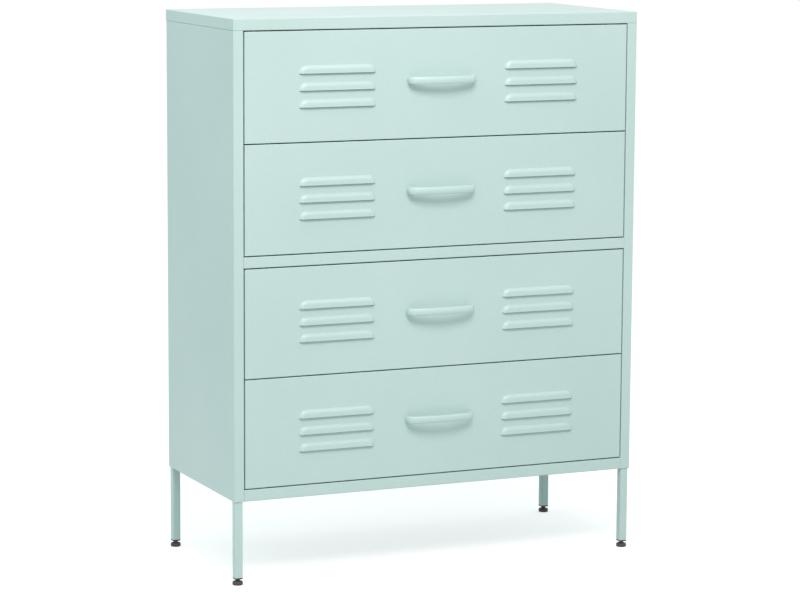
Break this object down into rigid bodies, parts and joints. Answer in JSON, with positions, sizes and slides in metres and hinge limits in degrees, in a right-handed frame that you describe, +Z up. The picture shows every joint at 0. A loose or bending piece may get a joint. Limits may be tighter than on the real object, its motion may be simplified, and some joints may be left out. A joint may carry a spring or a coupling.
{
  "type": "four-drawer steel chest of drawers",
  "caption": "Free-standing folded-steel chest with a stack of louvred drawers on ball-bearing slides, bow handles, slim square legs and levelling feet.",
  "frame": {"origin": "middle of the footprint (bounding box, handles included) on the floor", "axes": "+X to the right seen from the front, +Y from the drawer fronts to the back, +Z up"},
  "size_m": [0.8, 0.3763, 1.015],
  "materials": {
    "mint_powder_coat": "satin powder coat on folded sheet steel",
    "zinc_plate": "bright zinc plate",
    "blackened_steel": "blackened and oiled screw steel",
    "black_plastic": "fine-grained moulded plastic",
    "bearing_steel": "polished bearing steel"
  },
  "bodies": {
    "cabinet": {"top_panel": "mint_powder_coat", "left_side_panel": "mint_powder_coat", "right_side_panel": "mint_powder_coat", "bottom_panel": "mint_powder_coat", "bottom_rail": "mint_powder_coat", "middle_rail": "mint_powder_coat", "back_panel": "mint_powder_coat", "left_slide_posts": "zinc_plate", "right_slide_posts": "zinc_plate", "leg_end_plugs": "black_plastic", "leg_bolts": "zinc_plate", "frame_screws": "zinc_plate", "back_screws": "zinc_plate", "slide_screws": "zinc_plate", "leg_front_left": "mint_powder_coat", "leg_front_right": "mint_powder_coat", "leg_rear_left": "mint_powder_coat", "leg_rear_right": "mint_powder_coat", "drawer_1_outer_rails": "zinc_plate", "drawer_2_outer_rails": "zinc_plate", "drawer_3_outer_rails": "zinc_plate", "drawer_4_outer_rails": "zinc_plate"},
    "drawer_1": {"drawer_1_front": "mint_powder_coat", "drawer_1_tray": "mint_powder_coat", "drawer_1_handle": "mint_powder_coat", "drawer_1_screws": "zinc_plate", "drawer_1_inner_rails": "zinc_plate"},
    "cages_1": {"drawer_1_ball_cages": "black_plastic", "drawer_1_balls": "bearing_steel"},
    "drawer_2": {"drawer_2_front": "mint_powder_coat", "drawer_2_tray": "mint_powder_coat", "drawer_2_handle": "mint_powder_coat", "drawer_2_screws": "zinc_plate", "drawer_2_inner_rails": "zinc_plate"},
    "cages_2": {"drawer_2_ball_cages": "black_plastic", "drawer_2_balls": "bearing_steel"},
    "drawer_3": {"drawer_3_front": "mint_powder_coat", "drawer_3_tray": "mint_powder_coat", "drawer_3_handle": "mint_powder_coat", "drawer_3_screws": "zinc_plate", "drawer_3_inner_rails": "zinc_plate"},
    "cages_3": {"drawer_3_ball_cages": "black_plastic", "drawer_3_balls": "bearing_steel"},
    "drawer_4": {"drawer_4_front": "mint_powder_coat", "drawer_4_tray": "mint_powder_coat", "drawer_4_handle": "mint_powder_coat", "drawer_4_screws": "zinc_plate", "drawer_4_inner_rails": "zinc_plate"},
    "cages_4": {"drawer_4_ball_cages": "black_plastic", "drawer_4_balls": "bearing_steel"},
    "foot_front_left": {"foot_pad_front_left": "black_plastic", "foot_screw_front_left": "blackened_steel"},
    "foot_front_right": {"foot_pad_front_right": "black_plastic", "foot_screw_front_right": "blackened_steel"},
    "foot_rear_left": {"foot_pad_rear_left": "black_plastic", "foot_screw_rear_left": "blackened_steel"},
    "foot_rear_right": {"foot_pad_rear_right": "black_plastic", "foot_screw_rear_right": "blackened_steel"}
  },
  "joints": [
    {"name": "drawer_1_slide", "type": "slide", "parent": "cabinet", "child": "drawer_1", "axis": [0, -1, 0], "range_m": [0, 0.21]},
    {"name": "cages_1_slide", "type": "slide", "parent": "cabinet", "child": "cages_1", "axis": [0, -1, 0], "range_m": [0, 0.105]},
    {"name": "drawer_2_slide", "type": "slide", "parent": "cabinet", "child": "drawer_2", "axis": [0, -1, 0], "range_m": [0, 0.21]},
    {"name": "cages_2_slide", "type": "slide", "parent": "cabinet", "child": "cages_2", "axis": [0, -1, 0], "range_m": [0, 0.105]},
    {"name": "drawer_3_slide", "type": "slide", "parent": "cabinet", "child": "drawer_3", "axis": [0, -1, 0], "range_m": [0, 0.21]},
    {"name": "cages_3_slide", "type": "slide", "parent": "cabinet", "child": "cages_3", "axis": [0, -1, 0], "range_m": [0, 0.105]},
    {"name": "drawer_4_slide", "type": "slide", "parent": "cabinet", "child": "drawer_4", "axis": [0, -1, 0], "range_m": [0, 0.21]},
    {"name": "cages_4_slide", "type": "slide", "parent": "cabinet", "child": "cages_4", "axis": [0, -1, 0], "range_m": [0, 0.105]},
    {"name": "foot_front_left_height", "type": "slide", "parent": "cabinet", "child": "foot_front_left", "axis": [0, 0, -1], "range_m": [0, 0.012]},
    {"name": "foot_front_right_height", "type": "slide", "parent": "cabinet", "child": "foot_front_right", "axis": [0, 0, -1], "range_m": [0, 0.012]},
    {"name": "foot_rear_left_height", "type": "slide", "parent": "cabinet", "child": "foot_rear_left", "axis": [0, 0, -1], "range_m": [0, 0.012]},
    {"name": "foot_rear_right_height", "type": "slide", "parent": "cabinet", "child": "foot_rear_right", "axis": [0, 0, -1], "range_m": [0, 0.012]}
  ],
  "couplings": [
    {"joint": "cages_1_slide", "follows": "drawer_1_slide", "ratio": 0.5},
    {"joint": "cages_2_slide", "follows": "drawer_2_slide", "ratio": 0.5},
    {"joint": "cages_3_slide", "follows": "drawer_3_slide", "ratio": 0.5},
    {"joint": "cages_4_slide", "follows": "drawer_4_slide", "ratio": 0.5}
  ]
}
